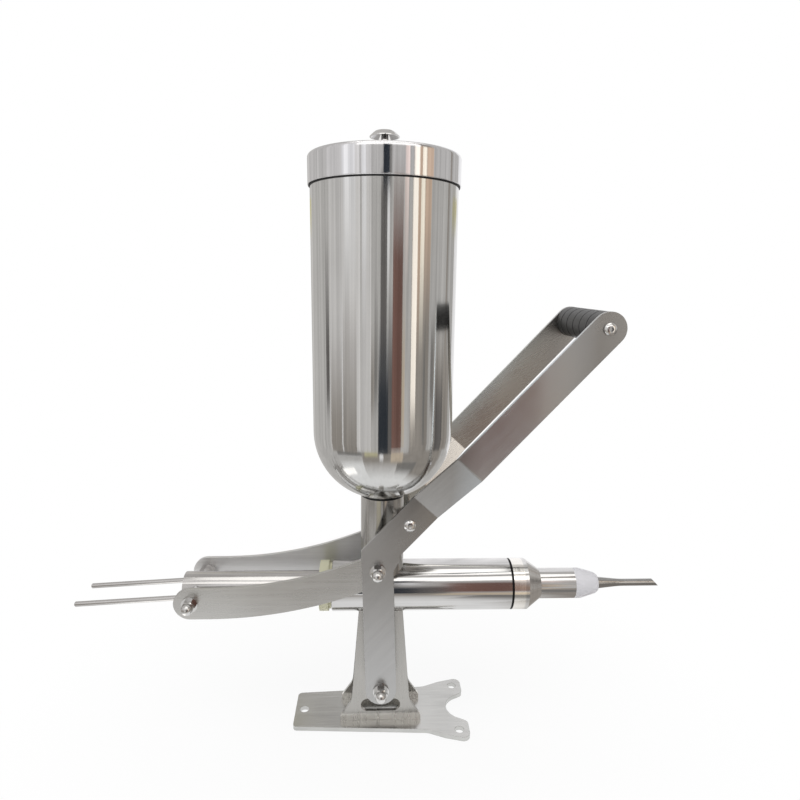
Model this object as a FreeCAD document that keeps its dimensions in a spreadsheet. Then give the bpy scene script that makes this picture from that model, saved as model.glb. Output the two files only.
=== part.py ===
"""Donut filler: a lever pump that pushes filling from a hopper through a needle nozzle.

Millimetres, Z up.  The origin is on the underside of the base plate, straight below
the hopper.  X runs along the pump barrel towards the nozzle, Y runs across it.
"""
import FreeCAD, Part
import math
import os
import re
import Sketcher

SIZES = {
    # Base plate
    "base_thickness": 5.0,
    "base_left": 102.0,
    "base_right": 101.0,
    "base_left_half_width": 28.8,
    "base_waist_half_width": 36.8,
    "base_waist_place": 53.0,
    "base_ear_start": 72.0,
    "base_ear_start_half_width": 45.0,
    "base_ear_half_width": 50.5,
    "base_corner_radius": 5.0,
    "base_ear_radius": 8.0,
    "base_flare_radius": 20.0,
    "base_notch_radius": 21.0,
    "base_notch_centre": 99.0,
    "base_notch_lip_radius": 7.0,
    "base_notch_lip_place": 29.0,
    "base_hole_diameter": 10.5,
    "base_hole_left": 91.5,
    "base_hole_right": 89.5,
    "base_hole_spread": 76.0,
    # Stand
    "stand_place": -1.0,
    "stand_thickness": 4.0,
    "stand_gap": 32.0,
    "stand_top_half_width": 22.7,
    "stand_knee_half_width": 33.6,
    "stand_knee_height": 29.6,
    "stand_foot_half_width": 46.8,
    "stand_foot_height": 10.5,
    "stand_flare_radius": 22.0,
    "stand_foot_radius": 5.0,
    "stand_slot_length": 45.5,
    "stand_slot_height": 15.8,
    "stand_slot_level": 24.8,
    "weld_radius": 2.4,
    # Pump barrel
    "barrel_height": 166.0,
    "barrel_diameter": 57.0,
    "barrel_wall": 1.5,
    "barrel_left": 56.6,
    "barrel_right": 146.0,
    "barrel_chamfer": 1.0,
    "bush_flange_thickness": 10.1,
    "bush_flange_diameter": 56.0,
    "bush_neck_diameter": 51.0,
    "bush_neck_length": 3.5,
    "bush_spigot_length": 4.0,
    "seal_thickness": 1.2,
    "seal_inset": 0.5,
    "cap_length": 18.0,
    "cap_cone_length": 16.0,
    "cap_spigot_length": 10.0,
    "cap_spigot_wall": 2.0,
    "outlet_diameter": 34.0,
    "outlet_wall": 2.0,
    "outlet_length": 40.4,
    # Nozzle coupler, its check valve and the needle
    "coupler_plain_length": 7.5,
    "coupler_taper_length": 17.5,
    "coupler_nose_length": 3.4,
    "coupler_taper_radius": 12.0,
    "coupler_nose_radius": 9.6,
    "coupler_spigot_length": 12.0,
    "coupler_web_thickness": 3.0,
    "coupler_web_place": 8.4,
    "coupler_web_bore": 8.0,
    "valve_chamber_radius": 10.0,
    "valve_seat_thickness": 4.0,
    "valve_seat_bore": 13.0,
    "valve_ball_diameter": 16.0,
    "valve_lift": 3.5,
    "valve_rib_width": 2.0,
    "needle_socket_radius": 6.8,
    "needle_diameter": 8.0,
    "needle_wall": 0.8,
    "needle_funnel_length": 27.0,
    "needle_length": 74.0,
    # Neck and hopper
    "neck_diameter": 48.0,
    "neck_wall": 2.0,
    "hopper_gasket_thickness": 1.3,
    "hopper_diameter": 150.0,
    "hopper_wall": 1.5,
    "hopper_height": 322.7,
    "hopper_bottom_drop": 1.4,
    "hopper_lever_gap": 5.2,
    "hopper_spigot_length": 20.0,
    "hopper_spigot_wall": 1.5,
    # Lid
    "lid_gasket_thickness": 1.2,
    "lid_gasket_inset": 1.2,
    "lid_gasket_width": 3.0,
    "lid_overhang": 2.0,
    "lid_height": 28.8,
    "lid_wall": 2.0,
    "lid_edge_radius": 3.5,
    "lid_plug_depth": 12.0,
    "lid_plug_wall": 2.3,
    "knob_radius": 15.2,
    "knob_height": 24.4,
    "knob_wall": 1.2,
    "knob_stem_radius": 3.6,
    "knob_rim_height": 18.7,
    "knob_shoulder_radius": 12.0,
    "knob_shoulder_height": 22.4,
    "knob_crown_radius": 9.3,
    # Lever
    "pivot_height": 61.0,
    "lever_lean": 1.7,
    "lever_thickness": 4.0,
    "lever_inner": 40.1,
    "lever_half_width": 17.0,
    "crank_length": 143.4,
    "elbow_length": 160.4,
    "lever_bend": 45.7,
    "lever_arm_length": 331.6,
    "lever_step_width": 7.0,
    "lever_step_low": 0.8,
    "lever_step_high": 12.0,
    "joggle_start": 75.0,
    "joggle_end": 137.5,
    "joggle_depth": 17.4,
    "joggle_radius": 4.0,
    "stop_rod_diameter": 8.0,
    "stop_rod_gap": 0.49,
    "stop_rod_offset": 1.3,
    "grip_diameter": 33.6,
    "grip_groove_pitch": 20.0,
    "grip_grooves": 5,
    "grip_groove_width": 2.2,
    "grip_groove_depth": 1.3,
    "grip_end_radius": 2.0,
    "grip_rod_diameter": 20.0,
    # Links
    "link_thickness": 4.0,
    "link_half_width": 17.5,
    "link_level_run": 20.0,
    # Plunger
    "plunger_pin_place": 206.6,
    "plunger_overhang": 15.4,
    "plunger_diameter": 33.4,
    "plunger_wall": 2.0,
    "piston_face": 27.0,
    "piston_length": 22.0,
    "piston_boss_length": 12.0,
    "piston_clearance": 0.35,
    "o_ring_section": 3.2,
    "o_ring_pitch": 10.0,
    "o_ring_first": 6.0,
    "boss_width": 17.0,
    "tail_rod_diameter": 5.6,
    "tail_rod_length": 122.0,
    "tail_rod_droop": 3.3,
    "tail_rod_spread": 20.1,
    "tail_rod_drop": 2.2,
    # Fasteners
    "bolt_diameter": 8.0,
    "nut_width": 13.0,
    "nut_height": 6.5,
    "nut_length": 15.0,
    "nut_dome_radius": 6.1,
    "nut_depth": 11.0,
    "washer_diameter": 17.5,
    "washer_thickness": 1.6,
    "sleeve_diameter": 16.0,
    "button_head_diameter": 13.0,
    "button_head_height": 4.0,
    "button_screw_diameter": 6.0,
    "button_screw_length": 14.0,
    "socket_width": 4.0,
    "socket_depth": 2.2,
    "pin_head_height": 5.0,
    # Fits
    "running_clearance": 0.05,
    "fixed_clearance": 0.1,
    "side_clearance": 0.3,
    "link_gap": 0.4,
}

# Places and fits that follow from the sizes above
DERIVED = {
    "stand_inner": "stand_gap / 2",
    "stand_outer": "stand_inner + stand_thickness",
    "barrel_radius": "barrel_diameter / 2",
    "barrel_bore": "barrel_radius - barrel_wall",
    "plunger_radius": "plunger_diameter / 2",
    "outlet_radius": "outlet_diameter / 2",
    "outlet_bore": "outlet_radius - outlet_wall",
    "cap_start": "barrel_right + seal_thickness",
    "outlet_start": "cap_start + cap_length + cap_cone_length",
    "outlet_end": "outlet_start + outlet_length",
    "coupler_length": "coupler_plain_length + coupler_taper_length + coupler_nose_length",
    "coupler_end": "outlet_end + coupler_length",
    "coupler_spigot_radius": "outlet_bore - fixed_clearance",
    "web_end": "coupler_web_place + coupler_web_thickness",
    "valve_radius": "valve_ball_diameter / 2",
    "valve_seat_place": "outlet_end - coupler_spigot_length",
    "valve_seat_reach": "sqrt(valve_radius ^ 2 - (valve_seat_bore / 2) ^ 2)",
    "valve_ball_place": "valve_seat_place + valve_seat_reach + fixed_clearance",
    "valve_rib_reach": "sqrt(valve_radius ^ 2 - (coupler_web_bore / 2) ^ 2)",
    "valve_rib_start": "valve_ball_place + valve_lift + valve_rib_reach - outlet_end",
    "neck_radius": "neck_diameter / 2",
    "neck_bore": "neck_radius - neck_wall",
    "hopper_radius": "hopper_diameter / 2",
    "hopper_chord": "sqrt(hopper_radius ^ 2 - lever_outer ^ 2)",
    "hopper_reach": "hopper_chord + hopper_lever_gap + lever_half_width - elbow_x * sin(lever_angle)",
    "hopper_dome_centre": "elbow_z + hopper_reach / cos(lever_angle)",
    "hopper_dome_rise": "sqrt(hopper_radius ^ 2 - neck_radius ^ 2) + hopper_bottom_drop",
    "hopper_seat": "hopper_dome_centre - hopper_dome_rise",
    "hopper_top": "hopper_seat + hopper_height",
    "neck_top": "hopper_seat - hopper_gasket_thickness",
    "hopper_bore": "hopper_radius - hopper_wall",
    "spigot_radius": "neck_bore - fixed_clearance",
    "spigot_bore": "spigot_radius - hopper_spigot_wall",
    "lid_seat": "hopper_top + lid_gasket_thickness",
    "lid_radius": "hopper_radius + lid_overhang",
    "lid_plug_radius": "hopper_bore - side_clearance",
    "lever_outer": "lever_inner + lever_thickness",
    "arm_inner": "lever_inner + joggle_depth",
    "arm_outer": "arm_inner + lever_thickness",
    "link_outer": "lever_inner - link_gap",
    "link_inner": "link_outer - link_thickness",
    "bolt_radius": "bolt_diameter / 2",
    "pivot_hole": "bolt_radius + running_clearance",
    "lever_angle": "lever_bend + lever_lean",
    "mid_pivot_x": "stand_place - crank_length * sin(lever_lean)",
    "mid_pivot_z": "pivot_height + crank_length * cos(lever_lean)",
    "elbow_x": "stand_place - elbow_length * sin(lever_lean)",
    "elbow_z": "pivot_height + elbow_length * cos(lever_lean)",
    "grip_x": "elbow_x + lever_arm_length * cos(lever_angle)",
    "grip_z": "elbow_z + lever_arm_length * sin(lever_angle)",
    "stop_rod_x": "neck_radius + stop_rod_diameter / 2 + stop_rod_gap",
    "stop_rod_place": "(stop_rod_x - elbow_x - stop_rod_offset * sin(lever_angle)) / cos(lever_angle)",
    "stop_rod_z": "elbow_z + stop_rod_place * sin(lever_angle) - stop_rod_offset * cos(lever_angle)",
    "link_span": "mid_pivot_x + plunger_pin_place",
    "link_rise": "mid_pivot_z - barrel_height",
    "link_curve_run": "link_span - link_level_run",
    "link_bend_radius": "(link_curve_run ^ 2 + link_rise ^ 2) / (2 * link_rise)",
    "boss_outer": "link_inner - link_gap",
    "plunger_left": "plunger_pin_place + plunger_overhang",
    "plunger_length": "plunger_left - piston_face - piston_length",
    "piston_radius": "barrel_bore - piston_clearance",
    "joggle_angle": "atan(joggle_depth / (joggle_end - joggle_start))",
    "joggle_shift": "lever_thickness * tan(joggle_angle / 2)",
}

X_AXIS = FreeCAD.Vector(1, 0, 0)
Y_AXIS = FreeCAD.Vector(0, 1, 0)
Z_AXIS = FreeCAD.Vector(0, 0, 1)
UPRIGHT = FreeCAD.Rotation()
ALONG_X = FreeCAD.Rotation(Y_AXIS, 90)
ALONG_Y = FreeCAD.Rotation(X_AXIS, -90)
ALONG_Y_POINT_UP = ALONG_Y.multiply(FreeCAD.Rotation(Z_AXIS, 30))

doc = FreeCAD.newDocument("donut_filler")
sheet = doc.addObject("Spreadsheet::Sheet", "Sizes")
for row, (alias, size) in enumerate(SIZES.items(), start=1):
    sheet.set(f"A{row}", alias.replace("_", " "))
    sheet.set(f"B{row}", str(size))
    sheet.setAlias(f"B{row}", alias)
doc.recompute()

WORD = re.compile(r"[a-z][a-z_0-9]*")


def bound(text):
    """Return an expression with each size named on the sheet and each fit written out."""
    def swap(match):
        word = match[0]
        if word in SIZES:
            return f"Sizes.{word}"
        if word in DERIVED:
            return f"({bound(DERIVED[word])})"
        return word
    return WORD.sub(swap, str(text))


def value(text):
    """Return the number that an expression gives now."""
    answer = sheet.evalExpression(bound(text))
    return float(getattr(answer, "Value", answer))


def bind(item, **expressions):
    """Bind each property to its expression."""
    for name, text in expressions.items():
        item.setExpression(name, bound(text))


def place(item, x=0, y=0, z=0, turn=UPRIGHT, angle=None):
    """Stand an object at a bound place, with a fixed turn or one bound angle."""
    item.Placement = FreeCAD.Placement(FreeCAD.Vector(value(x), value(y), value(z)), turn)
    for axis, text in zip("xyz", (x, y, z)):
        if text != 0:
            item.setExpression(f"Placement.Base.{axis}", bound(text))
    if angle is not None:
        item.setExpression("Placement.Rotation.Angle", bound(angle))
    return item


# Outlines: a closed run of corners and arcs, joined by straight lines


def point(x, y):
    """A sharp corner."""
    return {"x": x, "y": y, "kind": "point"}


def corner(x, y, radius):
    """A corner at (x, y) before it is rounded."""
    return {"x": x, "y": y, "kind": "corner", "radius": radius}


def bulge(x, y, radius, held=True):
    """An arc about (x, y) that the outline passes with its centre on the left."""
    return {"x": x, "y": y, "kind": "arc", "radius": radius, "side": 1, "held": held}


def hollow(x, y, radius, held=True):
    """An arc about (x, y) that the outline passes with its centre on the right."""
    return {"x": x, "y": y, "kind": "arc", "radius": radius, "side": -1, "held": held}


def solve_outline(items):
    """Work out where the tangent lines of an outline meet its corners and arcs."""
    spots = [FreeCAD.Vector(value(item["x"]), value(item["y"]), 0) for item in items]
    reach = [value(item["radius"]) * item["side"] if item["kind"] == "arc" else 0.0 for item in items]
    count = len(items)
    lines = []
    for i in range(count):
        j = (i + 1) % count
        gap = spots[j] - spots[i]
        share = (reach[j] - reach[i]) / gap.Length
        angle = math.atan2(gap.y, gap.x) - math.asin(max(-1.0, min(1.0, share)))
        left = FreeCAD.Vector(-math.sin(angle), math.cos(angle), 0)
        lines.append([spots[i] - left * reach[i], spots[j] - left * reach[j]])
    arcs = {}
    for i, item in enumerate(items):
        if item["kind"] == "arc":
            arcs[i] = (spots[i], abs(reach[i]), item["side"])
        if item["kind"] == "corner":
            before = (lines[i - 1][1] - lines[i - 1][0]).normalize()
            after = (lines[i][1] - lines[i][0]).normalize()
            turn = math.atan2(before.cross(after).z, before.dot(after))
            side = 1 if turn > 0 else -1
            radius = value(item["radius"])
            cut = radius * math.tan(abs(turn) / 2)
            lines[i - 1][1] = spots[i] - before * cut
            lines[i][0] = spots[i] + after * cut
            left = FreeCAD.Vector(-before.y, before.x, 0)
            arcs[i] = (lines[i - 1][1] + left * radius * side, radius, side)
    return spots, lines, arcs


def hold(sketch, where, x, y):
    """Fix one point of a sketch at a bound place."""
    for kind, text in (("DistanceX", x), ("DistanceY", y)):
        number = sketch.addConstraint(Sketcher.Constraint(kind, -1, 1, *where, value(text)))
        sketch.setExpression(f"Constraints[{number}]", bound(text))


def draw(sketch, items):
    """Draw a closed outline and constrain it by its own values."""
    spots, lines, arcs = solve_outline(items)
    line_ids = []
    for start, end in lines:
        if (end - start).Length < 1e-4:
            line_ids.append(None)
        else:
            line_ids.append(sketch.addGeometry(Part.LineSegment(start, end), False))
    arc_ids = {}
    for i, (centre, radius, side) in arcs.items():
        first, last = lines[i - 1][1] - centre, lines[i][0] - centre
        if side < 0:
            first, last = last, first
        start = math.atan2(first.y, first.x)
        end = math.atan2(last.y, last.x)
        if end <= start:
            end += 2 * math.pi
        curve = Part.ArcOfCircle(Part.Circle(centre, Z_AXIS, radius), start, end)
        arc_ids[i] = sketch.addGeometry(curve, False)
    count = len(items)
    for i, item in enumerate(items):
        line_in, line_out = line_ids[i - 1], line_ids[i]
        if i in arc_ids:
            arc = arc_ids[i]
            enter, leave = (1, 2) if arcs[i][2] > 0 else (2, 1)
            if line_in is not None:
                sketch.addConstraint(Sketcher.Constraint("Tangent", line_in, 2, arc, enter))
            if line_out is not None:
                sketch.addConstraint(Sketcher.Constraint("Tangent", line_out, 1, arc, leave))
            else:
                following = (i + 1) % count
                entry = 1 if arcs[following][2] > 0 else 2
                other = arc_ids[following]
                sketch.addConstraint(Sketcher.Constraint("Tangent", arc, leave, other, entry))
        if item["kind"] == "arc":
            hold(sketch, (arc_ids[i], 3), item["x"], item["y"])
        if item["kind"] == "corner":
            mark = sketch.addGeometry(Part.Point(spots[i]), True)
            hold(sketch, (mark, 1), item["x"], item["y"])
            sketch.addConstraint(Sketcher.Constraint("PointOnObject", mark, 1, line_in))
            sketch.addConstraint(Sketcher.Constraint("PointOnObject", mark, 1, line_out))
        if item["kind"] == "point":
            sketch.addConstraint(Sketcher.Constraint("Coincident", line_in, 2, line_out, 1))
            hold(sketch, (line_out, 1), item["x"], item["y"])
        if i in arc_ids and item.get("held", True):
            radius = Sketcher.Constraint("Radius", arc_ids[i], arcs[i][1])
            number = sketch.addConstraint(radius)
            sketch.setExpression(f"Constraints[{number}]", bound(item["radius"]))


def draw_circle(sketch, x, y, radius):
    """Draw one bound circle."""
    centre = FreeCAD.Vector(value(x), value(y), 0)
    circle = sketch.addGeometry(Part.Circle(centre, Z_AXIS, value(radius)), False)
    hold(sketch, (circle, 3), x, y)
    number = sketch.addConstraint(Sketcher.Constraint("Radius", circle, value(radius)))
    sketch.setExpression(f"Constraints[{number}]", bound(radius))


def draw_slot(sketch, y, length, height):
    """Draw a level slot with round ends, centred on the vertical axis."""
    end = f"(({length}) - ({height})) / 2"
    draw(sketch, [bulge(f"-({end})", y, f"({height}) / 2"), bulge(end, y, f"({height}) / 2")])


# Features shared by many pieces


def new_body(label):
    body = doc.addObject("PartDesign::Body", label)
    body.Label = label
    return body


def new_sketch(body, name, plane="XZ_Plane"):
    """Start a sketch on one of a body's own origin planes."""
    sketch = body.newObject("Sketcher::SketchObject", name)
    support = [item for item in body.Origin.OriginFeatures if item.Role == plane][0]
    sketch.AttachmentSupport = [(support, "")]
    sketch.MapMode = "FlatFace"
    return sketch


def pad(body, sketch, length, middle=False, reverse=False):
    """Pad a sketch to a bound length."""
    feature = body.newObject("PartDesign::Pad", f"{sketch.Name}_pad")
    feature.Profile = sketch
    bind(feature, Length=length)
    feature.Midplane = middle
    feature.Reversed = reverse
    return feature


def pocket_through(body, sketch):
    """Cut a sketch both ways through a body."""
    feature = body.newObject("PartDesign::Pocket", f"{sketch.Name}_pocket")
    feature.Profile = sketch
    feature.Type = "ThroughAll"
    feature.Midplane = True
    return feature


def turned(label, outline):
    """Revolve an outline, drawn as radius and height, about its own upright axis."""
    body = new_body(label)
    sketch = new_sketch(body, f"{label}_profile")
    draw(sketch, outline)
    feature = body.newObject("PartDesign::Revolution", f"{label}_turn")
    feature.Profile = sketch
    feature.ReferenceAxis = (sketch, ["V_Axis"])
    feature.Angle = 360
    return body


def ring(inner, outer, low, high):
    """Outline of a plain ring or tube."""
    return [point(inner, low), point(outer, low), point(outer, high), point(inner, high)]


def rod(radius, length, chamfer):
    """Outline of a round bar whose ends are chamfered."""
    return [
        point(0, 0), point(f"{radius} - {chamfer}", 0), point(radius, chamfer),
        point(radius, f"{length} - {chamfer}"), point(f"{radius} - {chamfer}", length),
        point(0, length),
    ]


def sheet_plate(label, outline, circles, thickness):
    """Pad an upright flat plate, with round holes, away from its outer face towards -Y."""
    body = new_body(label)
    sketch = new_sketch(body, f"{label}_outline")
    draw(sketch, outline)
    for x, y, radius in circles:
        draw_circle(sketch, x, y, radius)
    pad(body, sketch, thickness)
    return body


def cylinder(name, radius, height, **where):
    """A plain round bar."""
    item = doc.addObject("Part::Cylinder", name)
    bind(item, Radius=radius, Height=height)
    return place(item, **where)


def hexagon(name, width, height, **where):
    """A bar with six sides, given the width across its flats."""
    item = doc.addObject("Part::Prism", name)
    item.Polygon = 6
    bind(item, Circumradius=f"{width} / (2 * cos(30))", Height=height)
    return place(item, **where)


def cut(label, base, tool):
    item = doc.addObject("Part::Cut", label)
    item.Label = label
    item.Base = base
    item.Tool = tool
    return item


def fused(label, *parts):
    item = doc.addObject("Part::MultiFuse", label)
    item.Label = label
    item.Shapes = list(parts)
    return item


def shared(label, base, tool):
    """What two solids have in common."""
    item = doc.addObject("Part::Common", label)
    item.Label = label
    item.Base = base
    item.Tool = tool
    return item


def group(label, *parts):
    """Several separate solids of one kind, kept as one sub-part."""
    item = doc.addObject("Part::Compound", label)
    item.Label = label
    item.Links = list(parts)
    return item


def mirrored(source, name):
    """The same piece on the other side of the machine."""
    item = doc.addObject("Part::Mirroring", name)
    item.Source = source
    item.Base = FreeCAD.Vector(0, 0, 0)
    item.Normal = Y_AXIS
    return item


def pair(label, source):
    """A piece and its mirror image across the machine."""
    return group(label, source, mirrored(source, f"{label}_far"))


# Base plate


def base_plate():
    """Flat plate with three screw holes, two ears and a round notch between them."""
    body = new_body("base_plate")
    sketch = new_sketch(body, "base_outline", "XY_Plane")
    ear_x = "base_right - base_ear_radius"
    ear_y = "base_ear_half_width - base_ear_radius"
    lip_x = "base_right - base_notch_lip_radius"
    near = [
        corner("-base_left", "-base_left_half_width", "base_corner_radius"),
        corner("base_waist_place", "-base_waist_half_width", "base_flare_radius"),
        corner("base_ear_start", "-base_ear_start_half_width", "base_flare_radius"),
        bulge(ear_x, f"-({ear_y})", "base_ear_radius"),
        bulge(lip_x, "-base_notch_lip_place", "base_notch_lip_radius"),
        hollow("base_notch_centre", 0, "base_notch_radius"),
        bulge(lip_x, "base_notch_lip_place", "base_notch_lip_radius"),
        bulge(ear_x, ear_y, "base_ear_radius"),
        corner("base_ear_start", "base_ear_start_half_width", "base_flare_radius"),
        corner("base_waist_place", "base_waist_half_width", "base_flare_radius"),
        corner("-base_left", "base_left_half_width", "base_corner_radius"),
    ]
    draw(sketch, near)
    draw_circle(sketch, "-base_hole_left", 0, "base_hole_diameter / 2")
    for sign in ("-", ""):
        draw_circle(sketch, "base_hole_right", f"{sign}base_hole_spread / 2", "base_hole_diameter / 2")
    pad(body, sketch, "base_thickness")
    return body


# Stand


def stand_plate(label, face):
    """Upright plate that flares into feet, coped and welded to the barrel."""
    body = new_body(f"{label}_blank")
    sketch = new_sketch(body, f"{label}_outline")
    top = "barrel_height"
    foot = "stand_foot_half_width"
    draw(sketch, [
        point(f"-{foot}", "base_thickness"),
        point(foot, "base_thickness"),
        corner(foot, "stand_foot_height", "stand_foot_radius"),
        corner("stand_knee_half_width", "stand_knee_height", "stand_flare_radius"),
        point("stand_top_half_width", top),
        point("-stand_top_half_width", top),
        corner("-stand_knee_half_width", "stand_knee_height", "stand_flare_radius"),
        corner(f"-{foot}", "stand_foot_height", "stand_foot_radius"),
    ])
    draw_slot(sketch, "stand_slot_level", "stand_slot_length", "stand_slot_height")
    draw_circle(sketch, 0, "pivot_height", "bolt_radius + fixed_clearance")
    pad(body, sketch, "stand_thickness")
    place(body, x="stand_place", y=face)
    bead_y = "stand_outer" if label.endswith("rear") else "-stand_outer"
    bead = cylinder(
        f"{label}_weld", "weld_radius", "2 * stand_top_half_width", x="stand_place - stand_top_half_width",
        y=bead_y, z="barrel_height - sqrt(barrel_radius ^ 2 - stand_outer ^ 2)", turn=ALONG_X)
    barrel_space = cylinder(
        f"{label}_cope", "barrel_radius", "barrel_left + barrel_right", x="-barrel_left",
        z="barrel_height", turn=ALONG_X)
    return cut(label, fused(f"{label}_welded", body, bead), barrel_space)


# Barrel and neck


def barrel():
    """Pump tube with a round feed opening under the neck."""
    tube = turned("barrel_tube", [
        point("barrel_bore", "-barrel_left"),
        point("barrel_radius - barrel_chamfer", "-barrel_left"),
        point("barrel_radius", "barrel_chamfer - barrel_left"),
        point("barrel_radius", "barrel_right"),
        point("barrel_bore", "barrel_right"),
    ])
    place(tube, z="barrel_height", turn=ALONG_X)
    feed = cylinder("barrel_feed", "neck_bore", "barrel_diameter", z="barrel_height")
    return cut("barrel", tube, feed)


def neck_tube():
    """Tube that carries the hopper, coped onto the barrel."""
    tube = turned("neck_blank", ring("neck_bore", "neck_radius", "barrel_height", "neck_top"))
    barrel_space = cylinder(
        "neck_cope", "barrel_radius", "neck_diameter * 2", x="-neck_diameter", z="barrel_height",
        turn=ALONG_X)
    return cut("neck_tube", tube, barrel_space)


def rod_guide_bush():
    """Flanged plastic bush screwed into the barrel's open end, round the plunger tube."""
    bore = "plunger_radius + running_clearance"
    body = turned("rod_guide_bush", [
        point(bore, "-bush_flange_thickness - bush_neck_length"),
        point("bush_flange_diameter / 2", "-bush_flange_thickness - bush_neck_length"),
        point("bush_flange_diameter / 2", "-bush_neck_length"),
        point("bush_neck_diameter / 2", "-bush_neck_length"),
        point("bush_neck_diameter / 2", 0),
        point("barrel_bore - fixed_clearance", 0),
        point("barrel_bore - fixed_clearance", "bush_spigot_length"),
        point(bore, "bush_spigot_length"),
    ])
    return place(body, x="-barrel_left", z="barrel_height", turn=ALONG_X)


def outlet_seal():
    """Black ring between the barrel and its outlet cap."""
    body = turned("outlet_seal", ring(
        "barrel_bore - fixed_clearance", "barrel_radius - seal_inset", 0, "seal_thickness"))
    return place(body, x="barrel_right", z="barrel_height", turn=ALONG_X)


def outlet_cap():
    """Cap with a spigot in the barrel and a cone down to the outlet tube."""
    spigot = "barrel_bore - 2 * fixed_clearance"
    cone_end = "cap_length + cap_cone_length"
    body = turned("outlet_cap", [
        point(f"{spigot} - cap_spigot_wall", "-cap_spigot_length"),
        point(spigot, "-cap_spigot_length"),
        point(spigot, 0),
        point("barrel_radius", 0),
        point("barrel_radius", "cap_length"),
        point("outlet_radius", cone_end),
        point("outlet_bore", cone_end),
        point(f"{spigot} - cap_spigot_wall", "cap_length"),
    ])
    return place(body, x="cap_start", z="barrel_height", turn=ALONG_X)


def outlet_tube():
    body = turned("outlet_tube", ring("outlet_bore", "outlet_radius", 0, "outlet_length"))
    return place(body, x="outlet_start", z="barrel_height", turn=ALONG_X)


# Nozzle


def nozzle_coupler():
    """White plastic coupler: a valve chamber behind, a needle socket in front."""
    nose_start = "coupler_plain_length + coupler_taper_length"
    body = turned("nozzle_coupler", [
        point("valve_chamber_radius", "-coupler_spigot_length"),
        point("coupler_spigot_radius", "-coupler_spigot_length"),
        point("coupler_spigot_radius", 0),
        point("outlet_radius", 0),
        corner("outlet_radius", "coupler_plain_length", "outlet_radius"),
        corner("coupler_taper_radius", nose_start, "coupler_nose_length"),
        point("coupler_nose_radius", "coupler_length"),
        point("needle_socket_radius", "coupler_length"),
        point("needle_socket_radius", "web_end"),
        point("coupler_web_bore / 2", "web_end"),
        point("coupler_web_bore / 2", "coupler_web_place"),
        point("valve_chamber_radius", "coupler_web_place"),
    ])
    sketch = new_sketch(body, "valve_rib_outline")
    inner = "coupler_web_bore / 2"
    outer = "valve_chamber_radius + fixed_clearance"
    low = "valve_rib_start + fixed_clearance"
    draw(sketch, [
        point(inner, low), point(outer, low), point(outer, "coupler_web_place + fixed_clearance"),
        point(inner, "coupler_web_place + fixed_clearance"),
    ])
    rib = pad(body, sketch, "valve_rib_width", middle=True)
    ribs = body.newObject("PartDesign::PolarPattern", "valve_ribs")
    ribs.Originals = [rib]
    ribs.Axis = (sketch, ["V_Axis"])
    ribs.Angle = 360
    ribs.Occurrences = 3
    body.Tip = ribs
    return place(body, x="outlet_end", z="barrel_height", turn=ALONG_X)


def valve_seat():
    """Ring behind the ball that closes the outlet on the filling stroke."""
    body = turned("valve_seat", ring(
        "valve_seat_bore / 2", "coupler_spigot_radius", "-valve_seat_thickness", 0))
    return place(body, x="valve_seat_place", z="barrel_height", turn=ALONG_X)


def valve_ball():
    """Steel ball resting against its seat."""
    ball = doc.addObject("Part::Sphere", "valve_ball")
    ball.Label = "valve_ball"
    bind(ball, Radius="valve_radius")
    return place(ball, x="valve_ball_place", z="barrel_height")


def needle_nozzle():
    """Funnel drawn into a thin injection needle with a slanted tip."""
    root = "needle_socket_radius - fixed_clearance"
    stub = "coupler_length - web_end"
    tip = "needle_diameter / 2"
    body = turned("needle_nozzle", [
        point(f"{root} - needle_wall", f"-({stub})"),
        point(root, f"-({stub})"),
        point(root, 0),
        corner(tip, "needle_funnel_length", "4 * needle_funnel_length"),
        point(tip, "needle_length"),
        point(f"{tip} - needle_wall", "needle_length"),
        corner(f"{tip} - needle_wall", "needle_funnel_length", "4 * needle_funnel_length"),
        point(f"{root} - needle_wall", 0),
    ])
    sketch = new_sketch(body, "needle_slant")
    far = "needle_diameter"
    draw(sketch, [
        point(f"-{far}", f"needle_length - {far} - {tip}"),
        point(far, f"needle_length + {far} - {tip}"),
        point(f"-{far}", f"needle_length + {far} - {tip}"),
    ])
    pocket_through(body, sketch)
    return place(body, x="coupler_end", z="barrel_height", turn=ALONG_X)


# Hopper and lid


def hopper_gasket():
    body = turned("hopper_gasket", ring(
        "neck_bore + fixed_clearance", "neck_radius + 2 * fixed_clearance", 0, "hopper_gasket_thickness"))
    return place(body, z="neck_top")


def hopper():
    """Spun bin: straight wall, round bottom and a spigot that plugs into the neck."""
    low = "hopper_seat - hopper_spigot_length"
    return turned("hopper", [
        point("spigot_bore", low),
        point("spigot_radius", low),
        point("spigot_radius", "hopper_seat"),
        point("neck_radius", "hopper_seat"),
        bulge(0, "hopper_dome_centre", "hopper_radius"),
        point("hopper_radius", "hopper_top"),
        point("hopper_bore", "hopper_top"),
        hollow(0, "hopper_dome_centre", "hopper_bore"),
        point("spigot_bore", "hopper_seat + hopper_wall"),
    ])


def lid_gasket():
    outer = "hopper_radius + lid_gasket_inset"
    body = turned("lid_gasket", ring(f"{outer} - lid_gasket_width", outer, 0, "lid_gasket_thickness"))
    return place(body, z="hopper_top")


def lid():
    """Deep polished lid whose plug centres it inside the hopper's rim."""
    plug = "lid_plug_radius - lid_plug_wall"
    inner_wall = "lid_radius - lid_wall"
    roof = "lid_height - lid_wall"
    body = turned("lid", [
        point(plug, "-lid_plug_depth"),
        point("lid_plug_radius", "-lid_plug_depth"),
        point("lid_plug_radius", 0),
        point("lid_radius", 0),
        corner("lid_radius", "lid_height", "lid_edge_radius"),
        point(0, "lid_height"),
        point(0, roof),
        corner(inner_wall, roof, "lid_edge_radius - lid_wall"),
        point(inner_wall, "lid_wall"),
        point(plug, "lid_wall"),
    ])
    return place(body, z="lid_seat")


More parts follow.
